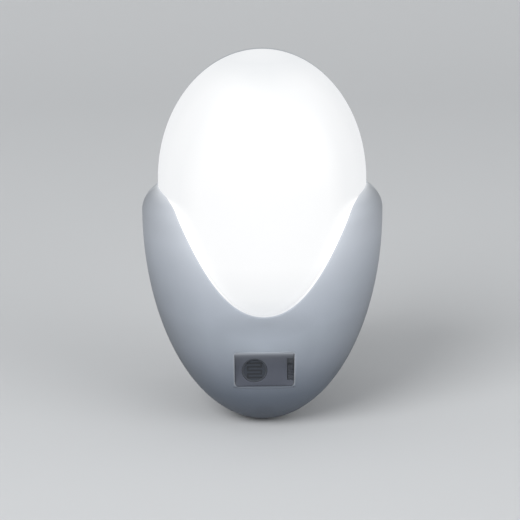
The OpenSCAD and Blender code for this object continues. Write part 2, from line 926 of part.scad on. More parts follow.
// Dark sleeve that keeps the lamps' own light off the photocell
module photocell_sleeve() {
  y = panel_y + photocell_sunk + 0.1;
  at = [photocell_x, photocell_z];
  color("black")
    difference() {
      rod(photocell_hole_d / 2 - hair, y, sensor_board_y, at);
      rod(photocell_r + hair, y - 1, sensor_board_y + 1, at);
    }
}

// ================= mode switch =================

module switch_frame() {
  slot_h = knob_h + knob_travel + 4 * fit;
  color("silver")
    translate([knob_x, 0, notch_z])
      difference() {
        block(-switch_w / 2, switch_w / 2, switch_y, switch_back_y - switch_base_t,
              -switch_h / 2, switch_h / 2);
        block(switch_frame_t - switch_w / 2, switch_w / 2 - switch_frame_t,
              switch_y + switch_frame_t, switch_back_y,
              switch_frame_t - switch_h / 2, switch_h / 2 - switch_frame_t);
        block(-knob_w / 2 - fit, knob_w / 2 + fit, switch_y - 1, switch_back_y,
              -slot_h / 2, slot_h / 2);
      }
}

module switch_body() {
  color("black")
    translate([knob_x, 0, notch_z])
      difference() {
        block(-switch_w / 2, switch_w / 2, switch_back_y - switch_base_t, switch_back_y,
              -switch_h / 2, switch_h / 2);
        for (i = [-1 : 1]) rod(lead_r + hair, -far, far, [0, i * switch_pitch]);
      }
}

module switch_terminals() {
  color("gold")
    for (at = switch_legs)
      rod(lead_r, switch_back_y - switch_base_t - 0.2, sensor_board_back_y + 1, at);
}

// Knob with grip ridges on its face, a dust shield behind the panel's skin and a foot
// under the switch's frame
module switch_knob() {
  face_y = panel_y + knob_sunk;
  foot_y = switch_y + switch_frame_t + fit;
  shield_z = notch_z - knob_z;
  color("dimgray")
    translate([knob_x, 0, knob_z]) {
      difference() {
        block(-knob_w / 2, knob_w / 2, face_y, foot_y, -knob_h / 2, knob_h / 2);
        for (i = [-1 : 1])
          block(-knob_w, knob_w, face_y - 1, face_y + knob_ridge,
                i * knob_ridge_pitch - knob_ridge, i * knob_ridge_pitch + knob_ridge);
      }
      block(-knob_w / 2 - shield_side - fit, knob_w / 2, shield_y, shield_y + shield_t,
            shield_z - shield_h / 2, shield_z + shield_h / 2);
      block(-knob_foot_w / 2, knob_foot_w / 2, foot_y, foot_y + knob_foot_t,
            -knob_foot_h / 2, knob_foot_h / 2);
    }
}

module switch_wiper() {
  y = switch_y + switch_frame_t + fit + knob_foot_t;
  color("gold")
    translate([knob_x, 0, knob_z])
      block(-knob_foot_w / 2 + 0.3, knob_foot_w / 2 - 0.3, y, y + wiper_t,
            0.2 - knob_foot_h / 2, knob_foot_h / 2 - 0.2);
}

lens();
front_cover();
rear_housing();
plug_pin_left();
plug_pin_right();
pin_sleeve_left();
pin_sleeve_right();
pin_retainer();
retainer_screw();
contact_strip_left();
contact_strip_right();
circuit_board();
board_screws();
cover_screw();
led_1();
led_2();
led_3();
led_4();
led_leads();
film_capacitor();
smoothing_capacitor();
inrush_resistor();
bleeder_resistor();
rectifier_diodes();
zener_diode();
bias_resistors();
transistors();
component_leads();
sensor_holder();
holder_screws();
sensor_board();
board_link_pins();
board_link_block();
photocell();
photocell_track();
photocell_leads();
photocell_sleeve();
switch_frame();
switch_body();
switch_terminals();
switch_knob();
switch_wiper();
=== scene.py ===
"""Plug-in night light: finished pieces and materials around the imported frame."""
import json
import math

import bmesh
import bpy
from mathutils import Matrix, Vector
from mathutils.geometry import interpolate_bezier


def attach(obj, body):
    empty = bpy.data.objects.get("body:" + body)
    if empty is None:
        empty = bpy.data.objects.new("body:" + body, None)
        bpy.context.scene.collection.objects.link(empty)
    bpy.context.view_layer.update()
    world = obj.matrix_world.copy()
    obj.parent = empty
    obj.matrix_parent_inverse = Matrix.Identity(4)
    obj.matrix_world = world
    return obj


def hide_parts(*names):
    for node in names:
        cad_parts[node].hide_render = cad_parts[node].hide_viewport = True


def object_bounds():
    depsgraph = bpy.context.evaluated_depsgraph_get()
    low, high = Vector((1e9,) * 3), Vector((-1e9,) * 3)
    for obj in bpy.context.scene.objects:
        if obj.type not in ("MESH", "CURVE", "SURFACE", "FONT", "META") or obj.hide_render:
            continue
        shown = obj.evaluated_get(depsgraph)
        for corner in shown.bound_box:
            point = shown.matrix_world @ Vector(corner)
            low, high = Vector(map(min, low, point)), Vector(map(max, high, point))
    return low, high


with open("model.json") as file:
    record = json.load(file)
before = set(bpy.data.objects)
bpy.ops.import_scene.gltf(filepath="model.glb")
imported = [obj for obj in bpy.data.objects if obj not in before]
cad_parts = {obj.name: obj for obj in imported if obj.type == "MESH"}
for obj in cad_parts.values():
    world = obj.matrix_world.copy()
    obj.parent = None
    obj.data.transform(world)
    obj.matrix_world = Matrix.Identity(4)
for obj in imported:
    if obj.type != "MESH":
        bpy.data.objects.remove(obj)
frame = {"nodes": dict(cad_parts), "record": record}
cad_low, cad_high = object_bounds()
nodes = frame["nodes"]
MM = 0.001

# ---------------------------------------------------------------- sizes, in mm
JOINT_Y = -12.0         # where the front shells meet the rear housing
COVER_HALF = 28.5       # half the cover's width
COVER_BOW = 20.5        # how far the cover bulges forward of the joint
WIDEST_Z = 27.7         # where the cover is widest
COVER_DROP = 52.0       # from there down to its lowest point
COVER_WALL = 1.6
SHOULDER_RISE = 7.2     # from the widest place up to the shoulder's crest
SHOULDER_R = 6.0
SHOULDER_Z = WIDEST_Z + SHOULDER_RISE - SHOULDER_R  # centre of the shoulder's rounding
SHOULDER_FOOT = COVER_HALF - SHOULDER_R             # and how far out it lies
FILLET_R = 1.2          # the hollow rounding between shoulder and lens
FLARE_Z = 31.0          # where the opening's edge starts to swing out to the lens's outline
FLARE_BEND = 3.5        # the power by which it swings
LENS_HALF = 24.6        # half the lens's width
LENS_BOW = 19.5         # how far the lens bulges forward of the joint
LENS_Z = 36.0           # where the lens is widest
LENS_RISE = 31.5        # from there up to its crown
LENS_DROP = 58.0        # and down to where its curve would close
LENS_WALL = 1.4
LENS_CUT_Z = 5.0        # the lens's lower end, behind the cover
SHELL_GAP = 0.25        # between cover and lens
OPENING_LOW = 8.0       # the lens opening's lowest point
OPENING_HALF = 22.0     # its half width at OPENING_TOP_Z
OPENING_TOP_Z = 35.7
OPENING_SLOPE = 2.2     # rise of its straight sides, per mm outwards
OPENING_ROUND = 10.0    # how far its round end pulls sideways
OPENING_PULL = 15.0     # and how far its straight sides pull down
SEAM_BEND = 0.0565      # the parabola nearest to its round end, per mm
LIP_R = 0.35            # rounding of its edge
LIP_GAP = 0.06          # between its lip and the lens
WINDOW_HALF = 7.1       # half the sensor window's width
WINDOW_LOW = -11.65
WINDOW_TOP = -1.85
WINDOW_R = 0.8          # its corners
WINDOW_EASE = 0.45      # rounding of its rim
WINDOW_HOOD = 1.8       # how many times wider that rounding is upwards
WINDOW_FLARE = 0.03     # how much wider the cutter is outside the cover
PANEL_Y = -24.5         # front of the sensor panel
KNOB_FACE_Y = -24.2     # front of the knob
SCREW_Z = -19.5         # height of the cover screw
SCREW_CLEAR = 4.0       # radius round it in which no edge is eased
PLUG_LENGTH = 17.0
PIN_FIELD = (13.0, 6.0)  # half sizes of the field in the plug's end that holds the pins
PLUG_FIELD = (18.0, 7.0)  # and of the back face's field that holds the plug
FLAT = 0.02             # how far from a plane a point still lies on it

# ---------------------------------------------------------------- light from inside, 1 is white
SEAM_GLOW, SEAM_REACH = 0.19, 13.0    # through the cover near the lens, and how far down
EDGE_GLOW, EDGE_REACH = 0.04, 3.0     # more of it, close to the opening
SHOULDER_GLOW = 0.36                  # on the shoulders, beside the lens
HOUSING_GLOW = 0.22                   # through the housing, at its top
LIP_LIGHT, LIP_LIGHT_RISE = 0.34, 0.36  # in the opening's lip at its foot, and added above
WALL_LIGHT, SIDE_LIGHT = 0.03, 0.15   # in the window's walls, and at their side rims
HOOD_LIGHT = 0.13                     # over the window
PANEL_TOP_LIGHT, PANEL_LIGHT = 0.27, 0.045  # on the panel at its very top, and below that
COOL_LIGHT = (0.94, 0.965, 0.985, 1)
LIP_TINT = (1.0, 0.945, 0.85, 1)      # warmer, against the cool plastic round it
HOUSING_TINT = (0.92, 0.97, 1.0)
PANEL_TINT = (0.86, 0.92, 1.0)
KNOB_TINT = (0.90, 0.95, 1.0)
LAMP_TINT = (0.90, 0.96, 1.0)
LENS_BRIGHT, LENS_DIM = (0.655, 0.656, 0.660, 1), (0.500, 0.512, 0.526, 1)


# ---------------------------------------------------------------- shader maths
class Socket:
    """A shader output that can be used in a Python expression."""

    def __init__(self, finish, link):
        self.finish, self.link = finish, link

    def math(self, operation, *values):
        return self.finish.node("ShaderNodeMath", {"operation": operation},
                                dict(enumerate(values)))

    def __add__(self, other):
        return self.math("ADD", self, other)

    def __sub__(self, other):
        return self.math("SUBTRACT", self, other)

    def __rsub__(self, other):
        return self.math("SUBTRACT", other, self)

    def __mul__(self, other):
        return self.math("MULTIPLY", self, other)

    def __truediv__(self, other):
        return self.math("DIVIDE", self, other)

    def __pow__(self, other):
        return self.math("POWER", self, other)

    def __abs__(self):
        return self.math("ABSOLUTE", self)

    __radd__ = __add__
    __rmul__ = __mul__

    def clamp(self):
        return self.math("MAXIMUM", self.math("MINIMUM", self, 1.0), 0.0)


class Finish:
    """One procedural material. Every node in it comes from node()."""

    def __init__(self, name):
        self.material = bpy.data.materials.new(name)
        self.material.use_nodes = True
        self.tree = self.material.node_tree
        self.tree.nodes.clear()

    def node(self, kind, settings, values, output=0):
        made = self.tree.nodes.new(kind)
        for key, value in settings.items():
            if key == "stops":
                ramp = made.color_ramp
                while len(ramp.elements) < len(value):
                    ramp.elements.new(0.5)
                for element, (position, colour) in zip(ramp.elements, value):
                    element.position, element.color = position, colour
            else:
                setattr(made, key, value)
        for place, value in values.items():
            if isinstance(value, Socket):
                self.tree.links.new(value.link, made.inputs[place])
            else:
                made.inputs[place].default_value = value
        return Socket(self, made.outputs[output]) if made.outputs else None

    def point(self):
        return self.node("ShaderNodeTexCoord", {}, {}, "Object")

    def axes(self, wanted):
        """The wanted ones of the point's X, Y and Z, in mm."""
        point = self.node("ShaderNodeVectorMath", {"operation": "SCALE"},
                          {0: self.point(), "Scale": 1 / MM})
        return [self.node("ShaderNodeSeparateXYZ", {}, {0: point}, axis) for axis in wanted]

    def noise(self, size, detail=2.0):
        """Noise from 0 to 1 with features about size mm across."""
        return self.node("ShaderNodeTexNoise", {},
                         {"Vector": self.point(), "Scale": 1 / (size * MM), "Detail": detail})

    def uneven(self, size, share):
        """A factor near 1 that strays by up to half the share either way."""
        return (self.noise(size) - 0.5) * share + 1.0

    def ramp(self, factor, *stops):
        return self.node("ShaderNodeValToRGB", {"stops": stops}, {0: factor})

    def mix(self, factor, first, second):
        return self.node("ShaderNodeMix", {"data_type": "RGBA"},
                         {0: factor, 6: first, 7: second}, 2)

    def shade(self, colour, amount):
        """The colour, times a number that varies over the surface."""
        return self.node("ShaderNodeVectorMath", {"operation": "SCALE"},
                         {0: colour, "Scale": amount})

    def bump(self, height, depth):
        """Bump from a height of 0 to 1, depth mm deep."""
        return self.node("ShaderNodeBump", {}, {"Height": height, "Distance": depth * MM})

    def surface(self, **values):
        named = {key.replace("_", " ").title().replace("Ior", "IOR"): value
                 for key, value in values.items()}
        shader = self.node("ShaderNodeBsdfPrincipled", {}, named)
        self.node("ShaderNodeOutputMaterial", {}, {"Surface": shader})
        return self.material


def steps(x, low, high):
    """0 below low, 1 above high, and straight between."""
    return ((x - low) / (high - low)).clamp()


def fades(x, low, high):
    """1 below low, 0 above high, and straight between."""
    return 1.0 - steps(x, low, high)


def distance(across, up):
    """Length of a flat vector."""
    return (across ** 2.0 + up ** 2.0) ** 0.5


# ---------------------------------------------------------------- the glowing shells' finishes
def cup_half(z):
    """The cover's half width at a height, as cover_half_at() gives it for a number."""
    return (1.0 - ((WIDEST_Z - z) / COVER_DROP).clamp() ** 2.0) ** 0.5 * COVER_HALF


def skin_depth(x, y, z):
    """How far a point lies under the cover's outer surface, in mm of its width."""
    cup = cup_half(z)
    turned = ((z - SHOULDER_Z) / SHOULDER_R).clamp()
    top = (1.0 - turned * turned) ** 0.5 * SHOULDER_R + SHOULDER_FOOT
    out = distance(x, (y - JOINT_Y) * (COVER_HALF / COVER_BOW))
    return cup.math("MINIMUM", cup, top) - out


def under_seam(x, z):
    """Distance in mm from a point of the cover up to the lens opening's edge."""
    return (x * x * SEAM_BEND + OPENING_LOW - z) / ((x * (2 * SEAM_BEND)) ** 2.0 + 1.0) ** 0.5


def white_with_painted_shade(made, y, z):
    """Base tone of the matt cool-white plastic with painted light and shade: painted pale near the
    lens, painted shade below, on faces turned back and at the sides.
    """
    # painted light and shade by height: pale near the lens, darker towards the bottom
    tone = made.ramp(steps(z, -26.0, LENS_Z),
                     (0.0, (0.080, 0.094, 0.119, 1)), (0.18, (0.126, 0.150, 0.189, 1)),
                     (0.36, (0.271, 0.300, 0.347, 1)), (0.43, (0.310, 0.342, 0.389, 1)),
                     (0.52, (0.352, 0.384, 0.436, 1)), (1.0, (0.405, 0.434, 0.485, 1)))
    turned_back = 1.0 - fades(y, -31.0, JOINT_Y) ** 0.6
    shaded = turned_back * (0.36 - steps(z, -14.0, 24.0) * 0.14)
    side = (1.0 - (JOINT_Y - y) / (cup_half(z) * (0.85 * COVER_BOW / COVER_HALF))).clamp()
    # painted shade towards the cover's sides, by height
    side_painted_shade = (steps(z, -18.0, -10.0) * 0.53 - steps(z, 4.0, 18.0) * 0.28
                + steps(z, 24.0, 31.0) * 0.25)
    cloudy = (made.noise(6.0) - 0.5) * 0.08
    return made.shade(tone, (1.0 - shaded + cloudy) * (1.0 - side * side_painted_shade))


def shoulder_glow(x, y, z):
    """Light that the lens throws on the shoulders beside it."""
    rising = steps(z, 32.0, 35.0) ** 2.4
    under_crest = fades(z, 35.0, 36.0)
    inner_side = fades(abs(x), 24.0, COVER_HALF)
    front = fades(y, JOINT_Y, -3.0)
    return rising * under_crest * inner_side * front * SHOULDER_GLOW


def seam_glow(z, low):
    """Light that shines through the cover near the lens opening, low mm under its edge."""
    wide = fades(low, 0.0, SEAM_REACH) ** 1.5 * steps(z, 4.0, 25.0)
    close = fades(low, 0.0, EDGE_REACH) ** 2.0 * steps(z, 9.0, 22.0)
    return wide * SEAM_GLOW + close * EDGE_GLOW


def lip_light(z, low, depth):
    """Light in the opening's lip, stronger towards the shoulders."""
    return (steps(depth, LIP_R - 0.1, 2 * LIP_R) * fades(low, 0.3, 1.5)
            * (steps(z, 10.0, 26.0) * LIP_LIGHT_RISE + LIP_LIGHT))


def window_light(x, z, depth):
    """Light in the window's walls, and along the rim over it."""
    aside = abs(x)
    near = (fades(aside, WINDOW_HALF + 0.5, WINDOW_HALF + 0.7)
            * steps(z, WINDOW_LOW - 0.85, WINDOW_LOW - 0.65)
            * fades(z, WINDOW_TOP + 0.65, WINDOW_TOP + 0.85))
    walls = steps(depth, 0.3, 0.8)
    side_rims = steps(depth, 0.04, 0.3) * steps(aside, WINDOW_HALF - 0.5, WINDOW_HALF - 0.1)
    over = steps(z, WINDOW_TOP - 0.75, WINDOW_TOP + 0.25) * (1.0 - steps(aside, 3.0, 7.0) * 0.7)
    rounding = steps(depth, 0.015, 0.05) * fades(depth, 0.2, 0.8)
    return near * (walls * WALL_LIGHT + side_rims * SIDE_LIGHT + over * rounding * HOOD_LIGHT)


def cover_painted_light_and_shade(x, z):
    """Painted light and shade where the cover is a little darker or paler than its base tone: the
    screw boss's shadow through the plastic, a shadow under the lens's lower end, a pool of light
    over the window and painted shade along the window's sill.
    """
    # painted shadows, a painted pool of light and painted shade, each as a share of the base tone
    screw_boss_shadow = fades(distance(x, z - SCREW_Z), 1.2, 3.0) * 0.10
    under_lens_shadow = fades(distance(x / 3.0, z - (OPENING_LOW - 1.8)), 0.3, 4.2) * 0.16
    over_window_light = fades(distance(x / 1.2, z), 0.0, 9.0) * 0.15
    sill_shade = fades(abs(z - (WINDOW_LOW - 0.2)), 0.1, 0.4) * 0.34
    sill_ends = fades(abs(x), WINDOW_HALF - 0.1, WINDOW_HALF + 0.5)
    return ((1.0 - screw_boss_shadow) * (1.0 - under_lens_shadow) * (1.0 + over_window_light)
            * (1.0 - sill_shade * sill_ends))


def cover_plastic():
    """Glows through near the lens, and brightly in the opening's lip and the window's rim."""
    made = Finish("cover_plastic")
    x, y, z = made.axes("XYZ")
    low = under_seam(x, z)
    depth = skin_depth(x, y, z)
    lip = lip_light(z, low, depth)
    light = seam_glow(z, low) + shoulder_glow(x, y, z) + lip + window_light(x, z, depth)
    tint = made.mix((lip * 4.0).clamp(), COOL_LIGHT, LIP_TINT)
    return made.surface(
        base_color=made.shade(white_with_painted_shade(made, y, z), cover_painted_light_and_shade(x, z)),
        roughness=made.noise(0.5) * 0.12 + 0.42,
        emission_color=made.shade(tint, light), emission_strength=1.0,
        specular_ior_level=0.4, normal=made.bump(made.noise(0.35, 3.0), 0.02))


def housing_plastic():
    """The same plastic behind the joint, where less of the lamps' light comes through."""
    made = Finish("housing_plastic")
    x, y, z = made.axes("XYZ")
    through = steps(z, 4.0, 40.0) * (1.0 - steps(y, JOINT_Y, 0.0) * 0.55) * HOUSING_GLOW
    outside_lens = steps(abs(x), LENS_HALF - 1.1, LENS_HALF + 0.2)
    light = through + shoulder_glow(x, y, z) * outside_lens
    return made.surface(
        base_color=white_with_painted_shade(made, y, z),
        roughness=made.noise(0.5) * 0.12 + 0.42,
        emission_color=made.shade(HOUSING_TINT, light), emission_strength=1.0,
        specular_ior_level=0.4, normal=made.bump(made.noise(0.35, 3.0), 0.02))


def lens_plastic():
    """Frosted lens: evenly bright, a little dimmer at its edge, its crown and its lower end."""
    made = Finish("lens_frosted")
    x, z = made.axes("XZ")
    crown_z = LENS_Z + LENS_RISE
    out = distance(x / LENS_HALF, (z - LENS_Z) / LENS_RISE)
    edge = (steps(out, 0.62, 0.78) * 0.33 + steps(out, 0.90, 1.0) * 0.22) * steps(z, 20.0, 34.0)
    foot = fades(z, OPENING_LOW, 20.0) * 0.75 + fades(z, OPENING_LOW, 12.0) * 0.42
    crown = (steps(z, crown_z - 7.5, crown_z - 3.5) * fades(z, crown_z - 2.0, crown_z)
             * fades(abs(x), 2.0, 14.0) * 0.5)
    light = made.ramp((edge + foot + crown).clamp(), (0.0, LENS_BRIGHT), (1.0, LENS_DIM))
    return made.surface(
        base_color=made.shade((0.275, 0.278, 0.280), made.uneven(9.0, 0.04)),
        roughness=made.noise(0.8) * 0.1 + 0.34,
        emission_color=light, emission_strength=1.0, specular_ior_level=0.4,
        normal=made.bump(made.noise(0.3, 3.0), 0.006))


def panel_plastic():
    """Opaque grey, darkened as painted shade of the recess and painted paler towards the top;
    faintly lit under the window's upper rim, with painted shade inside the photocell's hole.
    """
    made = Finish("panel_plastic")
    x, y, z = made.axes("XYZ")
    # painted shade: the recessed panel's grey is darkened, and painted paler towards the window's
    # top
    tone = made.mix(steps(z, WINDOW_LOW, WINDOW_TOP), (0.064, 0.071, 0.092, 1),
                    (0.076, 0.084, 0.109, 1))
    upper = steps(z, WINDOW_TOP - 4.75, WINDOW_TOP - 1.45)
    deep = steps(y, PANEL_Y + 0.1, PANEL_Y + 0.4)
    notch = steps(x, 4.5, 5.0)
    ends = steps(abs(x), WINDOW_HALF - 0.2, WINDOW_HALF)
    light = (upper ** 8.0 * PANEL_TOP_LIGHT + upper * PANEL_LIGHT
             + steps(abs(x), 4.0, WINDOW_HALF) ** 2.0 * 0.012
             + deep * (notch * 0.03 + ends * 0.05))
    hole_shade = deep * fades(x, 3.0, 4.0) * 0.65
    return made.surface(
        base_color=made.shade(tone, made.uneven(4.0, 0.06) * (1.0 - hole_shade)),
        roughness=made.noise(0.3) * 0.15 + 0.50,
        emission_color=made.shade(PANEL_TINT, light), emission_strength=1.0,
        normal=made.bump(made.noise(0.3, 3.0), 0.012))


def knob_plastic():
    """Dark grey; deeper than the knob's face, on the dust shield, painted paler and faintly lit,
    as painted light against the shade there.
    """
    made = Finish("knob_plastic")
    (y,) = made.axes("Y")
    deep = steps(y, KNOB_FACE_Y + 0.1, KNOB_FACE_Y + 0.6)
    # painted light: the deeper parts are painted paler and given a faint glow, against the shade
    # behind the knob's face
    tone = made.mix(deep, (0.046, 0.051, 0.064, 1), (0.085, 0.092, 0.108, 1))
    return made.surface(
        base_color=made.shade(tone, made.uneven(2.0, 0.06)),
        roughness=made.noise(0.25) * 0.15 + 0.45,
        emission_color=made.shade(KNOB_TINT, deep * 0.015), emission_strength=1.0,
        normal=made.bump(made.noise(0.25, 3.0), 0.008))


# ---------------------------------------------------------------- the other finishes
def plain_plastic(name, colour, rough, grain=0.4, depth=0.01):
    made = Finish(name)
    return made.surface(base_color=made.shade(colour, made.uneven(4.0, 0.06)),
                        roughness=made.noise(grain) * 0.15 + rough,
                        normal=made.bump(made.noise(grain, 3.0), depth))


def metal(name, colour, rough):
    made = Finish(name)
    streak = made.noise(0.25, 4.0)
    return made.surface(base_color=made.shade(colour, made.uneven(2.5, 0.10)), metallic=1.0,
                        roughness=streak * 0.14 + rough, normal=made.bump(streak, 0.002))


def board_lacquer():
    """Green lacquer, paler in lines as over copper tracks."""
    made = Finish("board_lacquer")
    x, z = made.axes("XZ")
    flat = made.node("ShaderNodeCombineXYZ", {}, {0: x, 1: z})
    line = made.node("ShaderNodeTexBrick", {"offset": 0.5},
                    {"Vector": flat, "Scale": 0.28, "Mortar Size": 0.03, "Mortar Smooth": 0.2}, 1)
    tone = made.mix(line, (0.030, 0.115, 0.055, 1), (0.055, 0.185, 0.085, 1))
    return made.surface(base_color=tone, roughness=made.noise(1.5) * 0.1 + 0.25,
                        normal=made.bump(line, 0.03))


def banded_resistor():
    made = Finish("resistor_lacquer")
    beige, brown = (0.62, 0.48, 0.30, 1), (0.30, 0.10, 0.05, 1)
    band = made.node("ShaderNodeTexWave", {"wave_type": "BANDS", "bands_direction": "DIAGONAL"},
                     {"Vector": made.point(), "Scale": 260.0, "Distortion": 0.0})
    tone = made.ramp(band, (0.0, beige), (0.78, beige), (0.82, brown), (1.0, brown))
    return made.surface(base_color=tone, roughness=made.noise(0.7) * 0.1 + 0.35)


def clear_lamp():
    """Clear epoxy that glows at its front end."""
    made = Finish("lamp_epoxy")
    (y,) = made.axes("Y")
    light = made.shade(LAMP_TINT, fades(y, -17.0, -10.0) * 0.9 + 0.1)
    return made.surface(base_color=made.shade((0.85, 0.87, 0.86), made.noise(2.0) * 0.05 + 0.95),
                        roughness=0.12, emission_color=light, emission_strength=1.0)


def photocell_resin():
    made = Finish("photocell_resin")
    speck = made.noise(0.25, 3.0)
    # painted shade: the resin is given a dark bluish grey for the shade of the recess it sits in
    tone = made.shade((0.028, 0.034, 0.046), speck * 0.3 + 0.85)
    return made.surface(base_color=tone, roughness=speck * 0.1 + 0.34, coat_weight=0.05,
                        normal=made.bump(speck, 0.006))


finishes = {
    "lens": lens_plastic(),
    "cover": cover_plastic(),
    "housing": housing_plastic(),
    "panel": panel_plastic(),
    "pin_metal": metal("pin_nickel", (0.66, 0.64, 0.60), 0.16),
    "sleeve": plain_plastic("sleeve_plastic", (0.020, 0.020, 0.022), 0.35),
    "light_seal": plain_plastic("seal_rubber", (0.060, 0.067, 0.080), 0.60, 0.3, 0.008),
    "retainer": plain_plastic("retainer_plastic", (0.60, 0.57, 0.47), 0.45),
    "brass": metal("strip_brass", (0.62, 0.44, 0.18), 0.24),
    "steel": metal("screw_steel", (0.48, 0.49, 0.50), 0.26),
    "solder": metal("lead_tin", (0.55, 0.55, 0.54), 0.30),
    "board": board_lacquer(),
    "lamp": clear_lamp(),
    "film_case": plain_plastic("film_case", (0.33, 0.035, 0.025), 0.22, 1.2, 0.02),
    "can": plain_plastic("can_sleeve", (0.015, 0.022, 0.075), 0.28, 1.5, 0.01),
    "resistor": banded_resistor(),
    "moulded_black": plain_plastic("moulded_black", (0.016, 0.016, 0.018), 0.42),
    "zener": plain_plastic("zener_glass", (0.45, 0.12, 0.05), 0.10, 1.0, 0.004),
    "photocell": photocell_resin(),
    "track": plain_plastic("track_print", (0.012, 0.015, 0.020), 0.50, 0.2, 0.006),
    "knob": knob_plastic(),
}
for part in frame["record"]["subparts"]:
    mesh = nodes[part["node"]].data
    mesh.materials.clear()
    mesh.materials.append(finishes[part["material_slot"]])


# ---------------------------------------------------------------- making pieces
SHARP = math.radians(35.0)


def placed(name, mesh):
    """A bmesh drawn in mm becomes an object in the scene."""
    bmesh.ops.scale(mesh, vec=(MM, MM, MM), verts=mesh.verts)
    data = bpy.data.meshes.new(name)
    mesh.to_mesh(data)
    mesh.free()
    made = bpy.data.objects.new(name, data)
    bpy.context.scene.collection.objects.link(made)
    return made


def piece(name, mesh, slot, body, *replaced):
    """A finished bmesh becomes a piece that rides on a body and stands for CAD nodes."""
    made = placed(name, mesh)
    made.data.materials.append(finishes[slot])
    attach(made, body)
    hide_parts(*replaced)
    return made


def smooth(mesh):
    """Smooth shading, with sharp edges kept crisp."""
    bmesh.ops.recalc_face_normals(mesh, faces=mesh.faces)
    for face in mesh.faces:
        face.smooth = True
    for edge in mesh.edges:
        edge.smooth = len(edge.link_faces) == 2 and edge.calc_face_angle(0) < SHARP


def eased(node, name, width, slot, body, picked):
    """A merged copy of a CAD node whose picked sharp edges are rounded stands for the node."""
    mesh = bmesh.new()
    mesh.from_mesh(nodes[node].data)
    bmesh.ops.scale(mesh, vec=(1 / MM, 1 / MM, 1 / MM), verts=mesh.verts)
    bmesh.ops.remove_doubles(mesh, verts=mesh.verts, dist=0.002)
    bmesh.ops.dissolve_limit(mesh, angle_limit=math.radians(0.5), verts=mesh.verts,
                             edges=mesh.edges)
    rounding = mesh.edges.layers.float.new("bevel_weight_edge")
    for face in mesh.faces:
        face.smooth = True
    for edge in mesh.edges:
        sharp = len(edge.link_faces) == 2 and edge.calc_face_angle(0) > SHARP
        edge.smooth = not sharp
        if sharp and picked((edge.verts[0].co + edge.verts[1].co) / 2):
            edge[rounding] = 1.0
    made = piece(name, mesh, slot, body, node)
    bevel = made.modifiers.new("eased_edges", "BEVEL")
    bevel.limit_method, bevel.width, bevel.segments = "WEIGHT", width * MM, 3
    bevel.profile, bevel.harden_normals = 0.5, True
    return made


def arc(centre, radius, first, last, count):
    """Points of a flat arc, in degrees."""
    turns = [math.radians(first + (last - first) * i / count) for i in range(count + 1)]
    return [Vector((centre[0] + radius * math.cos(a), centre[1] + radius * math.sin(a)))
            for a in turns]


def along(points, share):
    """The point at a share of a line's length."""
    lengths = [(b - a).length for a, b in zip(points, points[1:])]
    left = share * sum(lengths)
    for a, b, length in zip(points, points[1:], lengths):
        if left <= length:
            return a.lerp(b, left / length if length else 0.0)
        left -= length
    return points[-1].copy()


# ---------------------------------------------------------------- lens
LENS_AROUND, LENS_UP = 144, 96  # faces of the whole ball


def lens_depth(x, z):
    """Y of the lens's front surface."""
    rise = LENS_RISE if z > LENS_Z else LENS_DROP
    half = LENS_HALF * math.sqrt(max(0.0, 1 - ((z - LENS_Z) / rise) ** 2))
    return JOINT_Y - LENS_BOW / LENS_HALF * math.sqrt(max(0.0, half ** 2 - x ** 2))


def make_lens():
    """A ball drawn out to the lens's egg, halved at the joint, cut off below and hollowed."""
    mesh = bmesh.new()
    bmesh.ops.create_uvsphere(mesh, u_segments=LENS_AROUND, v_segments=LENS_UP, radius=1.0)
    low = [v for v in mesh.verts if v.co.z < -1e-6]
    high = [v for v in mesh.verts if v.co.z >= -1e-6]
    bmesh.ops.scale(mesh, vec=(LENS_HALF, LENS_BOW, LENS_DROP), verts=low)
    bmesh.ops.scale(mesh, vec=(LENS_HALF, LENS_BOW, LENS_RISE), verts=high)
    bmesh.ops.translate(mesh, vec=(0, JOINT_Y, LENS_Z), verts=mesh.verts)
    for place, normal in (((0, JOINT_Y, 0), (0, 1, 0)), ((0, 0, LENS_CUT_Z), (0, 0, -1))):
        bmesh.ops.bisect_plane(mesh, geom=mesh.verts[:] + mesh.edges[:] + mesh.faces[:], dist=1e-4,
                               plane_co=place, plane_no=normal, clear_outer=True)
    bmesh.ops.recalc_face_normals(mesh, faces=mesh.faces)
    bmesh.ops.solidify(mesh, geom=mesh.faces[:], thickness=LENS_WALL)
    smooth(mesh)
    return piece("lens_shell", mesh, "lens", "lamp", "lens")


# ---------------------------------------------------------------- cover
SEAM_POINTS = 160       # on the opening's edge, from one straight side to the middle
SIDE_POINTS = 200       # on the cover's outline below the shoulder
SIDE_ROWS = 64          # of the cover's mesh there
SHOULDER_ROWS, FILLET_ROWS = 20, 8
FACE_STEPS, LIP_STEPS, INNER_STEPS = 46, 4, 24
COLUMNS = FACE_STEPS + LIP_STEPS + INNER_STEPS + 4
INNER_RISE = 0.96       # share of the shoulder's rounding that the inner face follows
CUTTER_Y = -20.0        # inner end of the window cutter
CORNER_STEPS, SIDE_CUTS, RIM_STEPS = 8, 24, 5  # of the window's outline and its rim


def opening_side(z):
    """Half width of the lens opening at a height of its straight side."""
    return OPENING_HALF + (z - OPENING_TOP_Z) / OPENING_SLOPE


def opening_edge():
    """The right half of the lens opening, from the straight side down to the middle."""
    side = Vector((1, OPENING_SLOPE)).normalized()
    top = Vector((OPENING_HALF, OPENING_TOP_Z))
    curve = interpolate_bezier((0, OPENING_LOW, 0), (OPENING_ROUND, OPENING_LOW, 0),
                               (top - OPENING_PULL * side).to_3d(), top.to_3d(), SEAM_POINTS)
    return [p.to_2d() for p in reversed(curve)]


def cover_half_at(z):
    """Half width of the cover at a height below its shoulders."""
    if z >= WIDEST_Z:
        return COVER_HALF
    return COVER_HALF * math.sqrt(max(0.0, 1 - ((WIDEST_Z - z) / COVER_DROP) ** 2))


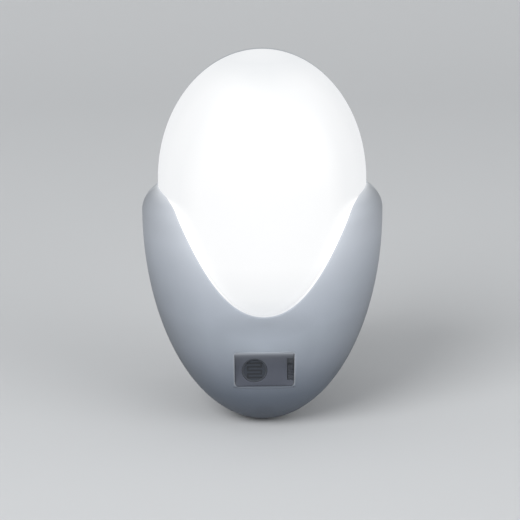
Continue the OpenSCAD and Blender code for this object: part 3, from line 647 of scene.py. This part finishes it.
def cover_surface(x, z):
    """Y of the cover's outer surface below its shoulders."""
    return JOINT_Y - COVER_BOW / COVER_HALF * math.sqrt(max(0.0, cover_half_at(z) ** 2 - x ** 2))


def shoulder_line():
    """Half width and height up the shoulder's rounding and the small hollow one."""
    edge = LENS_HALF + SHELL_GAP
    reach = SHOULDER_R + FILLET_R
    across = edge + FILLET_R - SHOULDER_FOOT
    turn = math.degrees(math.acos(across / reach))
    centre = Vector((SHOULDER_FOOT, SHOULDER_Z))
    hollow = centre + reach * Vector((math.cos(math.radians(turn)), math.sin(math.radians(turn))))
    return (arc(centre, SHOULDER_R, 0, turn, SHOULDER_ROWS)
            + arc(hollow, FILLET_R, 180 + turn, 180, FILLET_ROWS)[1:])


def seam_flare(z, crest):
    """How far the opening's edge swings out over the shoulder to meet the lens's outline."""
    rise = max(0.0, (z - FLARE_Z) / (crest - FLARE_Z))
    return (LENS_HALF + SHELL_GAP - opening_side(crest)) * rise ** FLARE_BEND


def cover_rows():
    """(seam point, outline point, half width or None) from the bottom up the right side."""
    shoulder = shoulder_line()
    foot, crest = shoulder[0].y, shoulder[-1].y
    seam = [Vector((opening_side(foot), foot))]
    seam += [p for p in opening_edge() if p.y <= foot]
    side = [Vector((COVER_HALF, foot))]
    side += [Vector((COVER_HALF * math.cos(a), WIDEST_Z - COVER_DROP * math.sin(a)))
             for a in [math.radians(90 * i / SIDE_POINTS) for i in range(SIDE_POINTS + 1)]]
    shares = [1 - i / SIDE_ROWS for i in range(SIDE_ROWS + 1)]
    rows = [(along(seam, share), along(side, share), None) for share in shares]
    for p in shoulder[1:]:
        rows.append((Vector((opening_side(p.y) + seam_flare(p.y, crest), p.y)), p, p.x))
    return rows


def cover_point(row, w):
    """The cover's outer surface at a share w of the way from the seam to the outline."""
    seam, outline, half = row
    flat = seam.lerp(outline, w)
    reach = cover_half_at(flat.y) if half is None else half
    depth = COVER_BOW / COVER_HALF * math.sqrt(max(0.0, reach ** 2 - flat.x ** 2))
    return Vector((flat.x, JOINT_Y - depth, flat.y))


def inner_point(row, w):
    """The cover's inner surface opposite cover_point()."""
    seam, outline, half = row
    flat = seam.lerp(outline, w)
    if half is None:
        reach = cover_half_at(flat.y)
        z = flat.y
        if z < WIDEST_Z:
            z = WIDEST_Z - (WIDEST_Z - z) * (COVER_DROP - COVER_WALL) / COVER_DROP
        inner = reach * (COVER_HALF - COVER_WALL) / COVER_HALF
    else:
        reach = half
        rise = min((flat.y - SHOULDER_Z) / SHOULDER_R, INNER_RISE)
        z = SHOULDER_Z + (SHOULDER_R - COVER_WALL) * rise
        inner = SHOULDER_FOOT + (SHOULDER_R - COVER_WALL) * math.sqrt(1 - rise ** 2)
    across = flat.x / reach if reach else 0.0
    depth = (COVER_BOW - COVER_WALL) / (COVER_HALF - COVER_WALL) * inner
    return Vector((across * inner, JOINT_Y - depth * math.sqrt(max(0.0, 1 - across ** 2)), z))


def cover_column(row, column):
    """A row's point: the face from joint to seam, the lip, then the inner face to the joint."""
    seam, outline, _ = row
    long = max((outline - seam).length, 1.0)
    corner = cover_point(row, 0.0)
    share, inside = LIP_R / long, min(COVER_WALL / long, 0.5)
    if column <= FACE_STEPS or column == COLUMNS:
        turn = 1.0 - column / FACE_STEPS if column <= FACE_STEPS else 1.0
        return cover_point(row, share + (1 - share) * math.sin(turn * math.pi / 2))
    column -= FACE_STEPS
    if column <= LIP_STEPS:
        t = column / LIP_STEPS
        wall = Vector((corner.x, min(corner.y + LIP_R, JOINT_Y), corner.z))
        face = cover_point(row, share)
        return face.lerp(corner, t).lerp(corner.lerp(wall, t), t)
    column -= LIP_STEPS
    if column == 1:
        back = max(corner.y + 1.2 * LIP_R, lens_depth(corner.x, corner.z) - LIP_GAP)
        return Vector((corner.x, min(back, JOINT_Y), corner.z))
    if column == 2:
        lip = inner_point(row, inside)
        back = max(lip.y, lens_depth(lip.x, lip.z) - SHELL_GAP)
        return Vector((lip.x, min(back, JOINT_Y), lip.z))
    return inner_point(row, inside + (1 - inside) * (column - 3) / INNER_STEPS)


def window_cutter():
    """A plug of the window's shape that flares out over the cover's face, for an eased rim."""
    mesh = bmesh.new()
    bmesh.ops.create_grid(mesh, x_segments=1, y_segments=1, size=1.0)
    for v in mesh.verts:
        v.co = Vector((math.copysign(WINDOW_HALF, v.co.x), CUTTER_Y,
                       WINDOW_LOW if v.co.y < 0 else WINDOW_TOP))
    bmesh.ops.bevel(mesh, geom=mesh.verts[:], offset=WINDOW_R, segments=CORNER_STEPS,
                    profile=0.5, affect="VERTICES", material=-1)
    sides = [e for e in mesh.edges if e.calc_length() > WINDOW_HALF / 2]
    bmesh.ops.bisect_edges(mesh, edges=sides, cuts=SIDE_CUTS)
    turns = [math.radians(90 * i / RIM_STEPS) for i in range(RIM_STEPS + 1)]
    rounds = [(WINDOW_EASE * (1 - math.cos(a)), WINDOW_EASE * (1 - math.sin(a))) for a in turns]
    rounds += [(WINDOW_EASE + WINDOW_FLARE, -0.1), (WINDOW_EASE + WINDOW_FLARE, -3.0)]
    straight_x, straight_low, straight_top = (WINDOW_HALF - WINDOW_R, WINDOW_LOW + WINDOW_R,
                                              WINDOW_TOP - WINDOW_R)
    (face,) = mesh.faces
    before = 0.0
    for i, (out, depth) in enumerate(rounds):
        grown = bmesh.ops.extrude_face_region(mesh, geom=[face])["geom"]
        if i:
            bmesh.ops.delete(mesh, geom=[face], context="FACES_ONLY")
        face = next(f for f in grown if isinstance(f, bmesh.types.BMFace))
        for v in face.verts:
            inner = Vector((min(max(v.co.x, -straight_x), straight_x), 0,
                            min(max(v.co.z, straight_low), straight_top)))
            away = (Vector((v.co.x, 0, v.co.z)) - inner).normalized()
            away.z *= WINDOW_HOOD if away.z > 0 else 1.0
            v.co += away * (out - before)
            v.co.y = cover_surface(v.co.x, v.co.z) + depth
        before = out
    bmesh.ops.recalc_face_normals(mesh, faces=mesh.faces)
    return placed("window_cutter", mesh)


def cut(made, cutter):
    """Takes the cutter's shape out of a piece, for good."""
    tool = made.modifiers.new("cut", "BOOLEAN")
    tool.operation, tool.solver, tool.object = "DIFFERENCE", "EXACT", cutter
    shape = bpy.data.meshes.new_from_object(made.evaluated_get(
        bpy.context.evaluated_depsgraph_get()))
    made.modifiers.clear()
    shape.name = made.name
    made.data = shape
    bpy.data.objects.remove(cutter)


def make_cover():
    """A grid bent round both faces of the cover, with the window cut through it."""
    right = cover_rows()
    rows = [(Vector((-s.x, s.y)), Vector((-o.x, o.y)), h) for s, o, h in reversed(right[1:])]
    rows += right
    mesh = bmesh.new()
    bmesh.ops.create_grid(mesh, x_segments=len(rows) - 1, y_segments=COLUMNS, size=1.0)
    for v in mesh.verts:
        i = round((v.co.x + 1) / 2 * (len(rows) - 1))
        j = round((v.co.y + 1) / 2 * COLUMNS)
        v.co = cover_column(rows[i], j)
    bmesh.ops.remove_doubles(mesh, verts=mesh.verts, dist=1e-3)
    bmesh.ops.dissolve_degenerate(mesh, edges=mesh.edges, dist=1e-4)
    smooth(mesh)
    made = piece("cover_shell", mesh, "cover", "lamp", "front_cover")
    cut(made, window_cutter())
    mesh = bmesh.new()
    mesh.from_mesh(made.data)
    smooth(mesh)
    mesh.to_mesh(made.data)
    mesh.free()
    return made


# ---------------------------------------------------------------- eased CAD pieces
def housing_edge(p):
    """True on the outlines of the plug's end and of the back face."""
    at_plug_end = p.y > PLUG_LENGTH - 0.1
    off_pins = abs(p.x) > PIN_FIELD[0] or abs(p.z) > PIN_FIELD[1]
    on_back = abs(p.y) < FLAT
    off_screw = math.hypot(p.x, p.z - SCREW_Z) > SCREW_CLEAR
    off_plug = abs(p.x) >= PLUG_FIELD[0] or abs(p.z) >= PLUG_FIELD[1]
    return at_plug_end and off_pins or on_back and off_screw and off_plug


def panel_edge(p):
    return p.y < PANEL_Y + FLAT


def knob_edge(p):
    return p.y < KNOB_FACE_Y + FLAT


make_lens()
make_cover()
eased("rear_housing", "housing_shell", 0.7, "housing", "lamp", housing_edge)
eased("sensor_holder", "sensor_panel", 0.12, "panel", "lamp", panel_edge)
eased("switch_knob", "mode_knob", 0.08, "knob", "knob", knob_edge)


# ---------------------------------------------------------------- studio
FLOOR_HALF, FLOOR_FORWARD, FLOOR_DROP = 4000.0, 3200.0, 0.1  # mm
BACKDROP_RISE, SWEEP_R = 2200.0, 500.0  # mm
LIGHTS_AIM = (0, -0.02, 0.02)  # m
CAMERA_REACH, CAMERA_DOWN, CAMERA_ASIDE = 0.55, 19.5, -0.8  # m, degrees, degrees
CAMERA_YAW, CAMERA_PITCH, CAMERA_ROLL = 0.056, 1.178, -0.487  # degrees off the frame's origin
SENSOR_WIDTH, FOCAL_LENGTH = 36.0, 154.38


def make_stage():
    """A pale floor that sweeps up into a backdrop."""
    made = Finish("studio_paper")
    camera, glossy, through = [made.node("ShaderNodeLightPath", {}, {}, f"Is {ray} Ray")
                               for ray in ("Camera", "Glossy", "Transmission")]
    made.surface(base_color=made.mix((camera + glossy + through).clamp(),
                                     (0.55, 0.56, 0.57, 1), (0.60, 0.61, 0.62, 1)),
                 roughness=0.9, specular_ior_level=0.1)
    mesh = bmesh.new()
    bmesh.ops.create_grid(mesh, x_segments=1, y_segments=1, size=FLOOR_HALF)
    bmesh.ops.translate(mesh, vec=(0, -FLOOR_FORWARD, cad_low.z / MM - FLOOR_DROP),
                        verts=mesh.verts)
    back = [e for e in mesh.edges if all(v.co.y > 0 for v in e.verts)]
    risen = bmesh.ops.extrude_edge_only(mesh, edges=back)["geom"]
    bmesh.ops.translate(mesh, vec=(0, 0, BACKDROP_RISE),
                        verts=[v for v in risen if isinstance(v, bmesh.types.BMVert)])
    bmesh.ops.bevel(mesh, geom=back, offset=SWEEP_R, segments=24, profile=0.5, affect="EDGES",
                    material=-1)
    for face in mesh.faces:
        face.smooth = True
    sweep = placed("studio_sweep", mesh)
    sweep.data.materials.append(made.material)


def make_light(name, place, size, watts):
    data = bpy.data.lights.new(name, "AREA")
    data.shape, data.size, data.energy = "DISK", size, watts
    lamp = bpy.data.objects.new(name, data)
    lamp.location = place
    lamp.rotation_mode = "QUATERNION"
    lamp.rotation_quaternion = (Vector(LIGHTS_AIM) - Vector(place)).to_track_quat("-Z", "Y")
    bpy.context.scene.collection.objects.link(lamp)


def make_camera():
    """Looks down at the front from a little to the left."""
    down, aside = math.radians(CAMERA_DOWN), math.radians(CAMERA_ASIDE)
    data = bpy.data.cameras.new("camera")
    data.sensor_width, data.lens = SENSOR_WIDTH, FOCAL_LENGTH
    data.clip_start, data.clip_end = 0.01, 20.0
    camera = bpy.data.objects.new("camera", data)
    turn = (Matrix.Rotation(aside + math.radians(CAMERA_YAW), 4, "Z")
            @ Matrix.Rotation(math.radians(90.0 + CAMERA_PITCH) - down, 4, "X")
            @ Matrix.Rotation(math.radians(CAMERA_ROLL), 4, "Z"))
    place = (CAMERA_REACH * math.sin(aside) * math.cos(down),
             -CAMERA_REACH * math.cos(aside) * math.cos(down), CAMERA_REACH * math.sin(down))
    camera.matrix_world = Matrix.Translation(place) @ turn
    bpy.context.scene.collection.objects.link(camera)
    bpy.context.scene.camera = camera


def make_world():
    """Even, faintly cool light from all round."""
    world = bpy.data.worlds.new("studio_world")
    world.use_nodes = True
    sky = world.node_tree.nodes["Background"].inputs
    sky["Color"].default_value = (0.98, 0.99, 1.0, 1)
    sky["Strength"].default_value = 0.55
    bpy.context.scene.world = world


make_stage()
make_light("key_light", (-0.55, -0.75, 0.75), 0.7, 9.0)
make_light("fill_light", (0.7, -0.6, 0.35), 0.8, 4.0)
make_camera()
make_world()
bpy.context.scene.view_settings.view_transform = "Standard"
